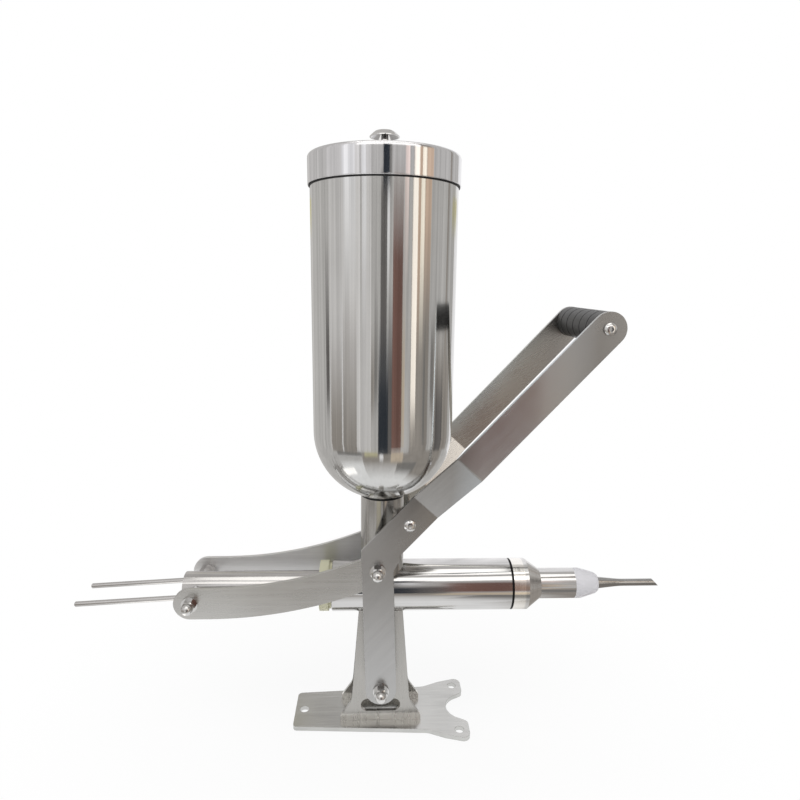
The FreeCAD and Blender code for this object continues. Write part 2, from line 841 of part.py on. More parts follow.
def lid_knob():
    """Pressed saucer knob, hollow below, on a slim stem."""
    rim = "knob_rim_height"
    hollow_top = "knob_height - knob_wall"
    body = turned("lid_knob", [
        point(0, 0),
        point("knob_stem_radius", 0),
        corner("knob_stem_radius", hollow_top, "knob_wall"),
        corner("knob_crown_radius - knob_wall / 2", hollow_top, "knob_wall"),
        point("knob_radius - knob_wall", rim),
        point("knob_radius", rim),
        corner("knob_radius", f"{rim} + knob_wall / 2", "knob_wall / 2"),
        corner("knob_shoulder_radius", "knob_shoulder_height", "2 * knob_wall"),
        corner("knob_crown_radius", "knob_height", "2 * knob_wall"),
        point(0, "knob_height"),
    ])
    return place(body, z="lid_seat + lid_height")


# Lever


def lever_plate(label, side):
    """Bent strip: upright leg, elbow with a step, and an arm joggled outwards.

    It is the overlap of its side outline and of its folded section along the arm.
    """
    half = "lever_half_width"
    rise = f"{half} * tan((90 - lever_bend) / 2)"
    step = f"{half} + lever_step_width"
    arm_low = "elbow_length + (lever_step_width * tan(lever_bend)) - " + rise
    outline = doc.addObject("Sketcher::SketchObject", f"{label}_outline")
    arm_x = "lever_arm_length * cos(lever_bend)"
    arm_z = "elbow_length + lever_arm_length * sin(lever_bend)"
    draw(outline, [
        bulge(0, 0, half),
        point(half, "crank_length + lever_step_low"),
        point(step, "crank_length + lever_step_high"),
        point(step, arm_low),
        bulge(arm_x, arm_z, half),
        point(f"-{half}", f"elbow_length + {rise}"),
    ])
    draw_circle(outline, 0, 0, "pivot_hole")
    draw_circle(outline, 0, "crank_length", "bolt_radius + fixed_clearance")
    rod_x = "stop_rod_place * cos(lever_bend) + stop_rod_offset * sin(lever_bend)"
    rod_z = "elbow_length + stop_rod_place * sin(lever_bend) - stop_rod_offset * cos(lever_bend)"
    screw_hole = "button_screw_diameter / 2 + fixed_clearance"
    draw_circle(outline, rod_x, rod_z, screw_hole)
    draw_circle(outline, arm_x, arm_z, screw_hole)
    outline.Placement = FreeCAD.Placement(FreeCAD.Vector(), FreeCAD.Rotation(X_AXIS, 90))
    blank = doc.addObject("Part::Extrusion", f"{label}_blank")
    blank.Base = outline
    blank.DirMode = "Normal"
    blank.Solid = True
    blank.Symmetric = True
    bind(blank, LengthFwd="3 * arm_outer")

    section = doc.addObject("Sketcher::SketchObject", f"{label}_fold")
    start = "-elbow_length - lever_half_width"
    end = "lever_arm_length + 2 * lever_half_width"
    faces = [
        point(start, "lever_inner"),
        corner("joggle_start + joggle_shift", "lever_inner", "joggle_radius + lever_thickness"),
        corner("joggle_end + joggle_shift", "arm_inner", "joggle_radius"),
        point(end, "arm_inner"),
        point(end, "arm_outer"),
        corner("joggle_end", "arm_outer", "joggle_radius + lever_thickness"),
        corner("joggle_start", "lever_outer", "joggle_radius"),
        point(start, "lever_outer"),
    ]
    if side == "front":
        for item in faces:
            item["y"] = f"-({item['y']})"
        faces.reverse()
    draw(section, faces)
    place(section, z="elbow_length", turn=ALONG_X, angle="-lever_bend")
    folded = doc.addObject("Part::Extrusion", f"{label}_folded")
    folded.Base = section
    folded.DirMode = "Normal"
    folded.Solid = True
    folded.Symmetric = True
    bind(folded, LengthFwd="2 * lever_arm_length")

    plate = shared(label, blank, folded)
    return place(plate, x="stand_place", z="pivot_height", turn=ALONG_X, angle="-lever_lean")


def cross_place(x, z, start, turn=ALONG_Y):
    """Where a piece that points across the machine starts."""
    return {"x": x, "z": z, "y": start, "turn": turn}


def button_screw(name, x, z, seat):
    """Round-headed screw with a hexagon socket, its head outwards."""
    head = "button_head_diameter / 2"
    blank = turned(f"{name}_blank", [
        point(0, "-button_screw_length"),
        point("button_screw_diameter / 2", "-button_screw_length"),
        point("button_screw_diameter / 2", 0),
        point(head, 0),
        corner(head, "button_head_height * 0.45", "button_head_height * 0.3"),
        corner(f"{head} * 0.6", "button_head_height", "button_head_height"),
        point(0, "button_head_height"),
    ])
    place(blank, **cross_place(x, z, seat))
    socket = hexagon(
        f"{name}_socket", "socket_width", "button_head_height",
        **cross_place(x, z, f"{seat} + button_head_height - socket_depth"))
    return cut(name, blank, socket)


def stop_rod():
    """Bar across the lever that meets the neck at rest and the barrel when pressed."""
    length = "2 * lever_inner"
    radius = "stop_rod_diameter / 2"
    thread = "button_screw_diameter / 2 + fixed_clearance"
    depth = "button_screw_length - lever_thickness + 1"
    body = turned("stop_rod", [
        point(0, depth), point(thread, depth), point(thread, 0), point(radius, 0), point(radius, length),
        point(thread, length), point(thread, f"{length} - ({depth})"), point(0, f"{length} - ({depth})"),
    ])
    return place(body, **cross_place("stop_rod_x", "stop_rod_z", "-lever_inner"))


def grip_rod():
    """Steel core of the grip, tapped at both ends."""
    length = "2 * arm_inner"
    radius = "grip_rod_diameter / 2"
    thread = "button_screw_diameter / 2 + fixed_clearance"
    depth = "button_screw_length - lever_thickness + 1"
    body = turned("grip_rod", [
        point(0, depth), point(thread, depth), point(thread, 0), point(radius, 0), point(radius, length),
        point(thread, length), point(thread, f"{length} - ({depth})"), point(0, f"{length} - ({depth})"),
    ])
    return place(body, **cross_place("grip_x", "grip_z", "-arm_inner"))


def grip():
    """Rubber sleeve with a row of grooves."""
    outer = "grip_diameter / 2"
    bore = "grip_rod_diameter / 2"
    end = "arm_inner - side_clearance"
    body = turned("grip", [
        point(bore, f"-({end})"),
        corner(outer, f"-({end})", "grip_end_radius"),
        corner(outer, end, "grip_end_radius"),
        point(bore, end),
    ])
    sketch = new_sketch(body, "grip_groove_outline")
    first = "(grip_grooves - 1) * grip_groove_pitch / 2"
    floor = f"{outer} - grip_groove_depth"
    over = f"{outer} + grip_groove_depth"
    wide = "grip_groove_width / 2"
    draw(sketch, [
        point(floor, f"-({first})"),
        point(over, f"-({first}) - 2 * {wide}"),
        point(over, f"-({first}) + 2 * {wide}"),
    ])
    groove = body.newObject("PartDesign::Groove", "grip_groove")
    groove.Profile = sketch
    groove.ReferenceAxis = (sketch, ["V_Axis"])
    groove.Angle = 360
    grooves = body.newObject("PartDesign::LinearPattern", "grip_groove_row")
    grooves.Originals = [groove]
    grooves.Direction = (sketch, ["V_Axis"])
    bind(grooves, Length="(grip_grooves - 1) * grip_groove_pitch", Occurrences="grip_grooves")
    body.Tip = grooves
    return place(body, **cross_place("grip_x", "grip_z", 0))


# Links, pivots and their hardware


def link(label, face):
    """Strip that runs level from the plunger and then curves up to the lever."""
    half = "link_half_width"
    centre_x = "link_level_run"
    centre_z = "link_bend_radius"
    outline = [
        bulge(0, 0, half),
        bulge(centre_x, centre_z, f"link_bend_radius + {half}", held=False),
        bulge("link_span", "link_rise", half),
        hollow(centre_x, centre_z, f"link_bend_radius - {half}", held=False),
    ]
    eyes = [(0, 0, "bolt_radius + fixed_clearance"), ("link_span", "link_rise", "pivot_hole")]
    body = sheet_plate(label, outline, eyes, "link_thickness")
    return place(body, x="-plunger_pin_place", y=face, z="barrel_height")


def washer(name, x, z, start):
    body = turned(name, ring(
        "bolt_radius + fixed_clearance", "washer_diameter / 2", 0, "washer_thickness"))
    return place(body, **cross_place(x, z, start))


def nut(name, x, z, start):
    """Cap nut: a hexagon with bevelled corners under a closed dome."""
    where = cross_place(x, z, start)
    dome = turned(f"{name}_dome", [
        point(0, 0),
        point("nut_dome_radius", 0),
        corner("nut_dome_radius", "nut_length", "nut_dome_radius * 0.95"),
        point(0, "nut_length"),
    ])
    bevel = turned(f"{name}_bevel", [
        point(0, 0),
        point("nut_width * 0.6", 0),
        point("nut_width * 0.6", "nut_height * 0.82"),
        point("nut_width * 0.5", "nut_height"),
        point(0, "nut_height"),
    ])
    place(dome, **where)
    place(bevel, **where)
    block = hexagon(f"{name}_block", "nut_width", "nut_height", **where)
    base = shared(f"{name}_base", block, bevel)
    bore = cylinder(f"{name}_bore", "bolt_radius + fixed_clearance", "2 * nut_depth", **cross_place(
        x, z, f"{start} - nut_depth"))
    return cut(name, fused(f"{name}_solid", base, dome), bore)


def bolt(name, x, z, start, end):
    body = turned(name, rod("bolt_radius", f"({end}) - ({start})", "bolt_radius / 5"))
    return place(body, **cross_place(x, z, start))


def headed_bolt(name, x, z, head_start, seat, end):
    """Bolt whose low round head lies on the inner side."""
    head = "washer_diameter * 0.45"
    length = f"({end}) - ({head_start})"
    shoulder = f"({seat}) - ({head_start})"
    body = turned(name, [
        point(0, 0),
        corner(head, 0, "pin_head_height / 4"),
        point(head, shoulder),
        point("bolt_radius", shoulder),
        point("bolt_radius", f"{length} - bolt_radius / 5"),
        point("bolt_radius * 0.8", length),
        point(0, length),
    ])
    return place(body, **cross_place(x, z, head_start))


def pivot_hardware():
    """Fixed bolt through both stand plates, with a sleeve, washer and nut on each side."""
    x, z = "stand_place", "pivot_height"
    washer_start = "lever_outer + side_clearance"
    nut_start = f"{washer_start} + washer_thickness"
    end = f"{nut_start} + nut_depth - fixed_clearance"
    bolt("pivot_bolt", x, z, f"-({end})", end)
    sleeve = turned("pivot_sleeve_near", ring(
        "bolt_radius + fixed_clearance", "sleeve_diameter / 2", 0,
        "lever_inner - side_clearance - stand_outer"))
    place(sleeve, **cross_place(x, z, "stand_outer"))
    return [
        doc.getObject("pivot_bolt"),
        pair("pivot_sleeves", sleeve),
        pair("pivot_washers", washer("pivot_washer_near", x, z, washer_start)),
        pair("pivot_nuts", nut("pivot_nut_near", x, z, nut_start)),
    ]


def link_pin_hardware():
    """Short bolt on each side that pins a link to the lever."""
    x, z = "mid_pivot_x", "mid_pivot_z"
    seat = "link_inner - side_clearance"
    nut_start = "lever_outer + washer_thickness"
    end = f"{nut_start} + nut_depth - fixed_clearance"
    pin = headed_bolt("link_pin_near", x, z, f"{seat} - pin_head_height", seat, end)
    return [
        pair("link_pins", pin),
        pair("link_pin_washers", washer("link_pin_washer_near", x, z, "lever_outer")),
        pair("link_pin_nuts", nut("link_pin_nut_near", x, z, nut_start)),
    ]


def link_end_hardware():
    """Bolt end, washer and nut where each link holds the plunger's cross bolt."""
    x, z = "-plunger_pin_place", "barrel_height"
    nut_start = "link_outer + washer_thickness"
    end = f"{nut_start} + nut_depth - fixed_clearance"
    return [
        pair("link_end_bolts", bolt("link_end_bolt_near", x, z, "link_inner", end)),
        pair("link_end_washers", washer("link_end_washer_near", x, z, "link_outer")),
        pair("link_end_nuts", nut("link_end_nut_near", x, z, nut_start)),
    ]


# Plunger


def plunger_tube():
    """Open tube with a cross hole for the bolt that the links pull."""
    tube = turned("plunger_blank", ring(
        "plunger_radius - plunger_wall", "plunger_radius", 0, "plunger_length"))
    place(tube, x="-plunger_left", z="barrel_height", turn=ALONG_X)
    hole = cylinder(
        "plunger_cross_hole", "bolt_radius + fixed_clearance", "2 * plunger_diameter",
        **cross_place("-plunger_pin_place", "barrel_height", "-plunger_diameter"))
    return cut("plunger_tube", tube, hole)


def o_ring_level(number):
    """Middle of an O-ring groove, measured back from the piston's face."""
    return f"-(o_ring_first + {number} * o_ring_pitch)"


def piston_head():
    """Plastic piston with two O-ring grooves and a boss inside the plunger tube."""
    groove_floor = "barrel_bore - o_ring_section"
    half = "o_ring_section * 0.6"
    outline = [point(0, 0), point(0, "-piston_length - piston_boss_length")]
    boss = "plunger_radius - plunger_wall - fixed_clearance"
    outline += [
        point(boss, "-piston_length - piston_boss_length"),
        point(boss, "-piston_length"),
        point("piston_radius", "-piston_length"),
    ]
    for number in (1, 0):
        level = o_ring_level(number)
        outline += [
            point("piston_radius", f"{level} - {half}"),
            point(groove_floor, f"{level} - {half}"),
            point(groove_floor, f"{level} + {half}"),
            point("piston_radius", f"{level} + {half}"),
        ]
    outline.append(corner("piston_radius", 0, "piston_clearance * 4"))
    body = turned("piston_head", outline)
    return place(body, x="-piston_face", z="barrel_height", turn=ALONG_X)


def o_rings():
    """Two rubber rings between the piston and the barrel."""
    rings = []
    for number in (0, 1):
        item = doc.addObject("Part::Torus", f"o_ring_{number + 1}")
        section = "(o_ring_section / 2 - running_clearance)"
        bind(item, Radius1="barrel_bore - o_ring_section / 2", Radius2=section)
        place(item, x=f"-piston_face + {o_ring_level(number)}", z="barrel_height", turn=ALONG_X)
        rings.append(item)
    return group("piston_o_rings", *rings)


def hex_bosses():
    """Hexagon spacers between the plunger tube and the links."""
    where = cross_place("-plunger_pin_place", "barrel_height", "plunger_radius", ALONG_Y_POINT_UP)
    block = hexagon("hex_boss_block", "boss_width", "boss_outer - plunger_radius", **where)
    bore = cylinder("hex_boss_bore", "bolt_radius + fixed_clearance", "boss_outer", **where)
    return pair("hex_bosses", cut("hex_boss_near", block, bore))


def cross_pin():
    body = turned("cross_pin", rod("bolt_radius", "2 * boss_outer", "bolt_radius / 5"))
    return place(body, **cross_place("-plunger_pin_place", "barrel_height", "-boss_outer"))


def tail_rod(label, y):
    """Thin rod welded to the outer flat of a hexagon boss."""
    body = turned(label, rod("tail_rod_diameter / 2", "tail_rod_length", "tail_rod_diameter / 6"))
    tilt = "tail_rod_diameter / 2 * sin(tail_rod_droop)"
    return place(
        body, x=f"-plunger_pin_place - boss_width / 2 - {tilt}", y=y, z="barrel_height - tail_rod_drop",
        turn=ALONG_X, angle="-90 - tail_rod_droop")


FRONT = "front"
REAR = "rear"

kept = [
    base_plate(),
    stand_plate("stand_plate_front", "-stand_inner"),
    stand_plate("stand_plate_rear", "stand_outer"),
    barrel(),
    neck_tube(),
    rod_guide_bush(),
    outlet_seal(),
    outlet_cap(),
    outlet_tube(),
    nozzle_coupler(),
    valve_seat(),
    valve_ball(),
    needle_nozzle(),
    hopper_gasket(),
    hopper(),
    lid_gasket(),
    lid(),
    lid_knob(),
    lever_plate("lever_plate_front", FRONT),
    lever_plate("lever_plate_rear", REAR),
    stop_rod(),
    pair("stop_rod_screws", button_screw("stop_screw_near", "stop_rod_x", "stop_rod_z", "lever_outer")),
    grip_rod(),
    grip(),
    pair("grip_screws", button_screw("grip_screw_near", "grip_x", "grip_z", "arm_outer")),
    link("link_front", "-link_inner"),
    link("link_rear", "link_outer"),
    *pivot_hardware(),
    *link_pin_hardware(),
    *link_end_hardware(),
    plunger_tube(),
    piston_head(),
    o_rings(),
    hex_bosses(),
    cross_pin(),
    tail_rod("tail_rod_front", "-tail_rod_spread"),
    tail_rod("tail_rod_rear", "tail_rod_spread"),
]

doc.recompute()
faults = [item.Name for item in doc.Objects if {"Invalid", "Error"} & set(item.State)]
if faults:
    raise RuntimeError(f"these objects failed: {faults}")

os.makedirs("parts", exist_ok=True)
for item in kept:
    if item.Shape.isNull() or not item.Shape.isValid() or not item.Shape.Solids:
        raise RuntimeError(f"{item.Label} has no sound shape")
for item in kept:
    item.Shape.exportStep(f"parts/{item.Label}.step")
    box = item.Shape.BoundBox
    print(
        f"{item.Label:20s} solids {len(item.Shape.Solids)}  volume {item.Shape.Volume:11.1f}"
        f"  X {box.XMin:7.1f} {box.XMax:7.1f}  Y {box.YMin:6.1f} {box.YMax:6.1f}"
        f"  Z {box.ZMin:6.1f} {box.ZMax:6.1f}")
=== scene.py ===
"""Donut filler in a white studio: camera, light, floor and the finish of every piece."""

import math

import bpy
from mathutils import Matrix, Vector

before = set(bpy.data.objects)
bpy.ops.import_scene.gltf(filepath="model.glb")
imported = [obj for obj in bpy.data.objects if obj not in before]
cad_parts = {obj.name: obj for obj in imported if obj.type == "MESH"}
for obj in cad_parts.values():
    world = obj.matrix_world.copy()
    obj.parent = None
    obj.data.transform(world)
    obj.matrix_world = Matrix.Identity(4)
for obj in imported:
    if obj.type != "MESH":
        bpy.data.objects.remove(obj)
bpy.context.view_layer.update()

# ---------------------------------------------------------------- shader helpers

NOISE_RANGE = (0.3, 0.7)  # where most of a noise texture's values lie


class Shader:
    """The node tree of one material or of the world."""

    def __init__(self, name, owner=None):
        self.owner = owner or bpy.data.materials.new(name)
        self.owner.use_nodes = True
        self.tree = self.owner.node_tree
        self.tree.nodes.clear()

    def feed(self, node, key, value):
        """Link an input to another node's output, or set it to a value."""
        if isinstance(value, bpy.types.NodeSocket):
            self.tree.links.new(value, node.inputs[key])
        else:
            node.inputs[key].default_value = value

    def add(self, kind, inputs=None, **settings):
        node = self.tree.nodes.new(kind)
        for key, value in settings.items():
            setattr(node, key, value)
        for key, value in (inputs or {}).items():
            self.feed(node, key, value)
        return node

    def place(self, turn=(0, 0, 0), stretch=(1, 1, 1)):
        """Object coordinates, turned and then stretched."""
        coords = self.add("ShaderNodeTexCoord")
        turned = self.add("ShaderNodeMapping", {"Vector": coords.outputs["Object"], "Rotation": turn})
        mapping = self.add("ShaderNodeMapping", {"Vector": turned.outputs["Vector"], "Scale": stretch})
        return mapping.outputs["Vector"]

    def coordinate(self, axis):
        """One object coordinate, in metres."""
        return self.add("ShaderNodeSeparateXYZ", {0: self.place()}).outputs[axis]

    def distance(self):
        """Distance from the object's origin, in metres."""
        return self.add("ShaderNodeVectorMath", {0: self.place()}, operation="LENGTH").outputs["Value"]

    def noise(self, where, scale, detail=3.0, rough=0.55):
        return self.add("ShaderNodeTexNoise", {
            "Vector": where, "Scale": scale, "Detail": detail, "Roughness": rough}).outputs["Fac"]

    def spread(self, source, low, high, start=NOISE_RANGE[0], end=NOISE_RANGE[1]):
        """Map a value between start and end to the range low to high."""
        return self.add("ShaderNodeMapRange", {
            "Value": source, "From Min": start, "From Max": end, "To Min": low, "To Max": high,
        }).outputs["Result"]

    def math(self, operation, first, second):
        return self.add("ShaderNodeMath", {0: first, 1: second}, operation=operation).outputs[0]

    def blend(self, share, first, second):
        """Mix two colours."""
        node = self.add("ShaderNodeMix", {0: share}, data_type="RGBA")
        for key, colour in ((6, first), (7, second)):
            self.feed(node, key, (*colour, 1) if isinstance(colour, tuple) else colour)
        return node.outputs[2]

    def vary(self, share, colour, down, up):
        """A colour that gets darker and lighter by these shares."""
        return self.blend(share, tuple(c * (1 - down) for c in colour), tuple(c * (1 + up) for c in colour))

    def glow(self, colour):
        return self.add("ShaderNodeEmission", {"Color": colour, "Strength": 1.0})

    def layer(self, share, under, over):
        """Mix two shaders."""
        return self.add("ShaderNodeMixShader", {0: share, 1: under.outputs[0], 2: over.outputs[0]})

    def surface(self, node):
        out = self.add("ShaderNodeOutputMaterial")
        self.tree.links.new(node.outputs[0], out.inputs["Surface"])
        return self.owner


TURNED_SMEAR = 0.92  # how much longer a reflection gets along the axis of a turned piece
QUARTER_TURN = 0.25  # turns the smear from round the axis to along it
GRAIN_DETAIL, GRAIN_ROUGHNESS = 4.0, 0.6
CLOUD_SCALE = 14.0
TONE_RANGE = (0.75, 1.25)  # grain and cloud added together
HIGHLIGHT_RANGE = (0.90, 0.95)  # cosine between a face and the side whose faces get a painted highlight
BEVEL_SAMPLES = 4


def metal(name, dark, light, rough, grain, turn=(0, 0, 0), grain_rough=0.05, grain_depth=4e-6,
          cloud_rough=0.03, rounding=0.0, turned=None, painted_highlight_side=None, zones=(), zone_axis="X"):
    """Steel with fine lines along one direction and slow clouds.

    Sheet has rounded cut edges. Turned pieces are polished round an axis, which smears what they
    reflect along that axis. Faces that look towards the given side get a painted highlight. Each of the
    zones, (start, end, colour), changes the tint between two places along one axis: painted
    highlights and sheen, a darker tint and the dark edge of a seal.
    """
    s = Shader(name)
    lines = s.noise(s.place(turn, grain), 1.0, GRAIN_DETAIL, GRAIN_ROUGHNESS)
    cloud = s.noise(s.place(), CLOUD_SCALE)
    colour = s.blend(s.spread(s.math("ADD", lines, cloud), 0, 1, *TONE_RANGE), dark, light)
    for start, end, tint in zones:
        colour = s.blend(s.spread(s.coordinate(zone_axis), 0, 1, start, end), colour, tint)
    # Painted highlight: faces that look towards the given side are tinted near-white
    if painted_highlight_side:
        normal = s.add("ShaderNodeTexCoord").outputs["Normal"]
        towards = s.add("ShaderNodeVectorMath", {0: normal, 1: painted_highlight_side}, operation="DOT_PRODUCT")
        share = s.spread(towards.outputs["Value"], 0, 1, *HIGHLIGHT_RANGE)
        colour = s.blend(share, colour, PAINTED_HIGHLIGHT)
    roughness = s.math("ADD", s.spread(lines, rough - grain_rough, rough + grain_rough),
                       s.spread(cloud, -cloud_rough, cloud_rough))
    inputs = {"Base Color": colour, "Metallic": 1.0, "Roughness": roughness}
    if turned:
        around = s.add("ShaderNodeTangent", direction_type="RADIAL", axis=turned)
        inputs.update({"Anisotropic": TURNED_SMEAR, "Anisotropic Rotation": QUARTER_TURN,
                       "Tangent": around.outputs[0]})
    relief = {"Height": lines, "Distance": grain_depth}
    if rounding:
        edge = s.add("ShaderNodeBevel", {"Radius": rounding}, samples=BEVEL_SAMPLES)
        relief["Normal"] = edge.outputs["Normal"]
    inputs["Normal"] = s.add("ShaderNodeBump", relief).outputs["Normal"]
    return s.surface(s.add("ShaderNodeBsdfPrincipled", inputs))


MOULD_CLOUD_SCALE = 25.0
SKIN_ROUGHNESS = 0.08  # how far the roughness goes up and down
GROOVE_SAMPLES = 8
GROOVE_RANGE = (0.72, 0.98)  # share of open sky, from the bottom of a groove to a free surface
GROOVE_SHADE = 0.1


def moulded(name, dark, light, rough, scale, depth, specular=0.5, groove=0.0):
    """Plastic or rubber with a fine skin, with painted shade down in its grooves."""
    s = Shader(name)
    skin = s.noise(s.place(), scale, 4.0)
    cloud = s.noise(s.place(), MOULD_CLOUD_SCALE, 2.0)
    colour = s.blend(s.spread(cloud, 0, 1), dark, light)
    # Painted shade: ambient occlusion darkens the colour down in the grooves
    if groove:
        shut = s.add("ShaderNodeAmbientOcclusion", {"Distance": groove}, samples=GROOVE_SAMPLES, only_local=True)
        share = s.spread(shut.outputs["AO"], 0, 1, *GROOVE_RANGE)
        colour = s.blend(share, tuple(c * GROOVE_SHADE for c in dark), colour)
    relief = s.add("ShaderNodeBump", {"Height": skin, "Distance": depth, "Strength": 1.0})
    return s.surface(s.add("ShaderNodeBsdfPrincipled", {
        "Base Color": colour, "Roughness": s.spread(skin, rough - SKIN_ROUGHNESS, rough + SKIN_ROUGHNESS),
        "Specular IOR Level": specular, "Normal": relief.outputs["Normal"]}))


# ---------------------------------------------------------------- finishes

# Colours of painted highlights and sheen, of a darker tint and of the dark edge of a seal
PAINTED_HIGHLIGHT = (0.97, 0.95, 0.91)
DARKER_TINT = (0.36, 0.355, 0.345)
PAINTED_SHEEN = (0.65, 0.70, 0.74)
SEALANT = (0.03, 0.03, 0.03)

# Where they are, in metres
# Painted bluish sheen across the middle of the front lever plate
LEVER_MIDDLE = (0.07, 0.10, PAINTED_SHEEN)
# Darker tint towards the grip end of both lever plates
LEVER_END = (0.16, 0.21, DARKER_TINT)
REAR_LEVER_END = (0.14, 0.20, DARKER_TINT)
BARREL_RIM = (0.1452, 0.1454, SEALANT)
CAP_RIM = (0.1480, 0.1478, SEALANT)
# Painted highlight round the collar of the outlet cap
CAP_COLLAR = (0.162, 0.160, PAINTED_HIGHLIGHT)
# Painted highlight along the foot of the stand plates
STAND_FOOT = (0.0150, 0.0125, PAINTED_HIGHLIGHT)
# Side whose faces on the rear lever plate get a painted highlight
HIGHLIGHT_SIDE = (0.34, -0.866, 0.366)

# Grain: how fine the noise is along X, Y and Z
ALONG_X, ALONG_Z = (2, 420, 420), (420, 420, 2)
LINK_GRAIN = (14, 60, 420)
BRUSHING, REAR_BRUSHING = math.radians(47.4), math.radians(32.0)
SHEET_EDGE = 0.0007
POLISH = dict(grain_rough=0.01, grain_depth=1e-7, cloud_rough=0.01)

hopper_steel = metal(
    "hopper_steel", (0.585, 0.585, 0.575), (0.655, 0.655, 0.645), 0.09, ALONG_Z, turned="Z", **POLISH)
lid_steel = metal(
    "lid_steel", (0.68, 0.68, 0.69), (0.76, 0.76, 0.77), 0.04, ALONG_Z, turned="Z", rounding=0.002, **POLISH)
barrel_steel = metal(
    "barrel_steel", (0.58, 0.575, 0.57), (0.66, 0.655, 0.65), 0.085, ALONG_X, turned="X",
    zones=(BARREL_RIM,), **POLISH)
tube_steel = metal(
    "tube_steel", (0.62, 0.615, 0.61), (0.70, 0.695, 0.69), 0.09, ALONG_X, turned="X", **POLISH)
neck_steel = metal(
    "neck_steel", (0.44, 0.43, 0.41), (0.54, 0.53, 0.51), 0.15, (300, 300, 3), turned="Z", **POLISH)
cone_steel = metal(
    "cone_steel", (0.67, 0.665, 0.655), (0.76, 0.755, 0.745), 0.12, (600, 25, 25), turned="X",
    grain_rough=0.03, grain_depth=5e-7, zones=(CAP_COLLAR, CAP_RIM))
knob_steel = metal("knob_steel", (0.66, 0.655, 0.645), (0.76, 0.755, 0.745), 0.08, (60, 60, 600), **POLISH)
lever_steel = metal(
    "lever_steel", (0.425, 0.423, 0.418), (0.465, 0.463, 0.458), 0.25, (12, 60, 200), turn=(0, BRUSHING, 0),
    grain_rough=0.02, grain_depth=1e-7, cloud_rough=0.04, rounding=SHEET_EDGE, zones=(LEVER_MIDDLE, LEVER_END))
rear_lever_steel = metal(
    "rear_lever_steel", (0.53, 0.54, 0.51), (0.58, 0.59, 0.56), 0.27, (22, 60, 700), turn=(0, REAR_BRUSHING, 0),
    grain_rough=0.025, grain_depth=3e-7, rounding=SHEET_EDGE, painted_highlight_side=HIGHLIGHT_SIDE, zones=(REAR_LEVER_END,))
link_steel = metal(
    "link_steel", (0.51, 0.505, 0.49), (0.57, 0.565, 0.55), 0.28, LINK_GRAIN, grain_depth=5e-7,
    rounding=SHEET_EDGE)
# Same steel as the front link; its base colour is painted lighter to make up for the light the rear plate misses
# between the parts
rear_link_painted_lighter = metal(
    "rear_link_painted_lighter", (0.70, 0.70, 0.70), (0.80, 0.80, 0.80), 0.48, LINK_GRAIN, grain_depth=1e-6,
    rounding=SHEET_EDGE)
stand_steel = metal(
    "stand_steel", (0.41, 0.40, 0.38), (0.48, 0.47, 0.45), 0.28, (300, 30, 20), grain_depth=1e-6,
    rounding=SHEET_EDGE, zones=(STAND_FOOT,), zone_axis="Z")
base_steel = metal(
    "base_steel", (0.50, 0.50, 0.485), (0.60, 0.60, 0.585), 0.22, (18, 300, 200), grain_depth=5e-7,
    rounding=0.0008)
rod_steel = metal(
    "rod_steel", (0.52, 0.51, 0.50), (0.64, 0.63, 0.62), 0.14, (6, 350, 350), grain_depth=4e-7)
bolt_steel = metal(
    "bolt_steel", (0.60, 0.595, 0.585), (0.74, 0.735, 0.725), 0.05, (300, 60, 300), grain_depth=5e-7,
    grain_rough=0.02, cloud_rough=0.01)
needle_steel = metal(
    "needle_steel", (0.38, 0.38, 0.38), (0.46, 0.46, 0.46), 0.12, ALONG_X, turned="X", **POLISH)
black_rubber = moulded(
    "black_rubber", (0.022, 0.022, 0.022), (0.036, 0.035, 0.034), 0.45, 900, 2e-5, groove=0.0025)
seal_rubber = moulded(
    "seal_rubber", (0.008, 0.008, 0.009), (0.016, 0.016, 0.017), 0.6, 700, 1e-5, specular=0.2)
white_plastic = moulded("white_plastic", (0.74, 0.73, 0.76), (0.79, 0.78, 0.81), 0.42, 300, 2e-6)
yellow_nylon = moulded("yellow_nylon", (0.60, 0.585, 0.40), (0.70, 0.685, 0.50), 0.42, 500, 5e-6)

FINISH = {
    hopper_steel: ("hopper",),
    lid_steel: ("lid",),
    barrel_steel: ("barrel",),
    tube_steel: ("outlet_tube",),
    neck_steel: ("neck_tube",),
    cone_steel: ("outlet_cap",),
    knob_steel: ("lid_knob",),
    lever_steel: ("lever_plate_front",),
    rear_lever_steel: ("lever_plate_rear",),
    link_steel: ("link_front",),
    rear_link_painted_lighter: ("link_rear",),
    stand_steel: ("stand_plate_front", "stand_plate_rear"),
    base_steel: ("base_plate",),
    rod_steel: (
        "plunger_tube", "tail_rod_front", "tail_rod_rear", "stop_rod", "grip_rod", "cross_pin", "hex_bosses"),
    needle_steel: ("needle_nozzle",),
    bolt_steel: (
        "pivot_bolt", "pivot_sleeves", "pivot_washers", "pivot_nuts", "link_pins", "link_pin_washers",
        "link_pin_nuts", "link_end_bolts", "link_end_washers", "link_end_nuts", "stop_rod_screws",
        "grip_screws", "valve_ball"),
    black_rubber: ("grip",),
    seal_rubber: ("outlet_seal", "hopper_gasket", "lid_gasket", "piston_o_rings"),
    white_plastic: ("nozzle_coupler", "valve_seat", "piston_head"),
    yellow_nylon: ("rod_guide_bush",),
}
for finish, names in FINISH.items():
    for name in names:
        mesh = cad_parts[name].data
        mesh.materials.clear()
        mesh.materials.append(finish)
        for face in mesh.polygons:
            face.material_index = 0

# ---------------------------------------------------------------- world and floor

AMBIENT = 0.55  # what the world gives to matt surfaces
WHITE = (1, 1, 1, 1)
FLOOR_REACH = 6.0
FLOOR_DROP = 0.0004
FLOOR_COLOUR = (0.93, 0.93, 0.93, 1)
FLOOR_WHITE = (0.90, 1.0)  # share of plain white near the object and far from it
FLOOR_FADE = (0.12, 0.45)  # metres from the middle


